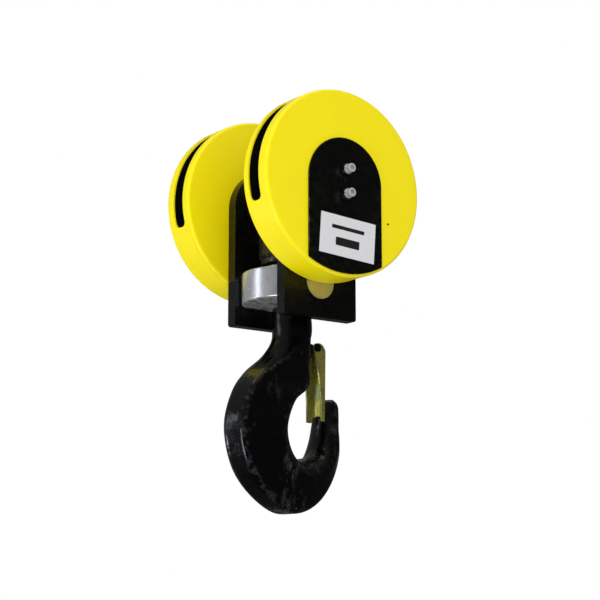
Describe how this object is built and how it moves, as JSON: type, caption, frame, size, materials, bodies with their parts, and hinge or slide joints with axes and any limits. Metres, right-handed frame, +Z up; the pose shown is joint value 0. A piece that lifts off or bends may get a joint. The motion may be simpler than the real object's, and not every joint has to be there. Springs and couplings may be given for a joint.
{
  "type": "crane hook block",
  "caption": "Crane hook block with covered rope sheaves on one axle, a tilting crosshead and a swivelling single hook with a sprung safety latch.",
  "frame": {"origin": "on the sheave axle, midway between the two covers, in the plane of the rope legs' resultant", "axes": "+Z up along the hook shank, +Y along the sheave axle towards the rear cover, +X across the sheaves"},
  "size_m": [0.456, 0.4894, 0.9978],
  "materials": {
    "yellow_paint": "gloss",
    "black_paint": "gloss",
    "bare_steel": "machined",
    "bearing_steel": "ground",
    "zinc_plate": "bright zinc",
    "yellow_zinc": "yellow passivated zinc",
    "bronze": "machined",
    "cast_iron": "as cast with machined groove",
    "label_sheet": "satin"
  },
  "bodies": {
    "frame": {"sheave_axle": "bare_steel", "axle_sleeve": "black_paint", "rating_plate": "label_sheet", "side_plate_front": "black_paint", "cover_inner_half_front": "yellow_paint", "cover_outer_half_front": "yellow_paint", "end_plate_front": "black_paint", "spacer_ring_inner_front": "bare_steel", "spacer_ring_outer_front": "bare_steel", "axle_bolt_upper_front": "zinc_plate", "axle_bolt_lower_front": "zinc_plate", "axle_washer_upper_front": "black_paint", "spring_washer_upper_front": "zinc_plate", "axle_washer_lower_front": "black_paint", "spring_washer_lower_front": "zinc_plate", "trunnion_bush_front": "bronze", "bearing_inner_ring_front": "bearing_steel", "side_plate_rear": "black_paint", "cover_inner_half_rear": "yellow_paint", "cover_outer_half_rear": "yellow_paint", "end_plate_rear": "black_paint", "spacer_ring_inner_rear": "bare_steel", "spacer_ring_outer_rear": "bare_steel", "axle_bolt_upper_rear": "zinc_plate", "axle_bolt_lower_rear": "zinc_plate", "axle_washer_upper_rear": "black_paint", "spring_washer_upper_rear": "zinc_plate", "axle_washer_lower_rear": "black_paint", "spring_washer_lower_rear": "zinc_plate", "trunnion_bush_rear": "bronze", "bearing_inner_ring_rear": "bearing_steel"},
    "front_sheave": {"sheave_front": "cast_iron", "bearing_roller_cage_front": "bearing_steel", "bearing_outer_ring_front": "bearing_steel", "circlip_inner_front": "bearing_steel", "circlip_outer_front": "bearing_steel"},
    "rear_sheave": {"sheave_rear": "cast_iron", "bearing_roller_cage_rear": "bearing_steel", "bearing_outer_ring_rear": "bearing_steel", "circlip_inner_rear": "bearing_steel", "circlip_outer_rear": "bearing_steel"},
    "crosshead": {"crosshead": "bare_steel", "thrust_washer_lower": "bearing_steel"},
    "hook": {"hook": "black_paint", "thrust_washer_upper": "bearing_steel", "thrust_ball_cage": "bearing_steel", "hook_nut": "bare_steel", "nut_lock_bar": "zinc_plate", "lock_screw_tip_side": "zinc_plate", "lock_screw_back_side": "zinc_plate", "latch_bolt": "black_paint", "latch_nut": "zinc_plate", "latch_spring": "bearing_steel"},
    "latch": {"safety_latch": "yellow_zinc"}
  },
  "joints": [
    {"name": "front_sheave_spin", "type": "hinge", "parent": "frame", "child": "front_sheave", "pos_m": [0, -0.163, 0], "axis": [0, 1, 0], "continuous": true},
    {"name": "rear_sheave_spin", "type": "hinge", "parent": "frame", "child": "rear_sheave", "pos_m": [0, 0.163, 0], "axis": [0, 1, 0], "continuous": true},
    {"name": "crosshead_tilt", "type": "hinge", "parent": "frame", "child": "crosshead", "pos_m": [0, 0, -0.225], "axis": [0, 1, 0], "range_deg": [-30, 30]},
    {"name": "hook_swivel", "type": "hinge", "parent": "crosshead", "child": "hook", "pos_m": [0, 0, -0.225], "axis": [0, 0, 1], "continuous": true},
    {"name": "latch_open", "type": "hinge", "parent": "hook", "child": "latch", "pos_m": [0.06553, 0.01817, -0.362], "axis": [-0.2672, 0.9636, 0], "range_deg": [0, 30], "stiffness_Nm_per_rad": 0.6, "springref_deg": -28.65, "deforming": ["latch_spring"]}
  ]
}
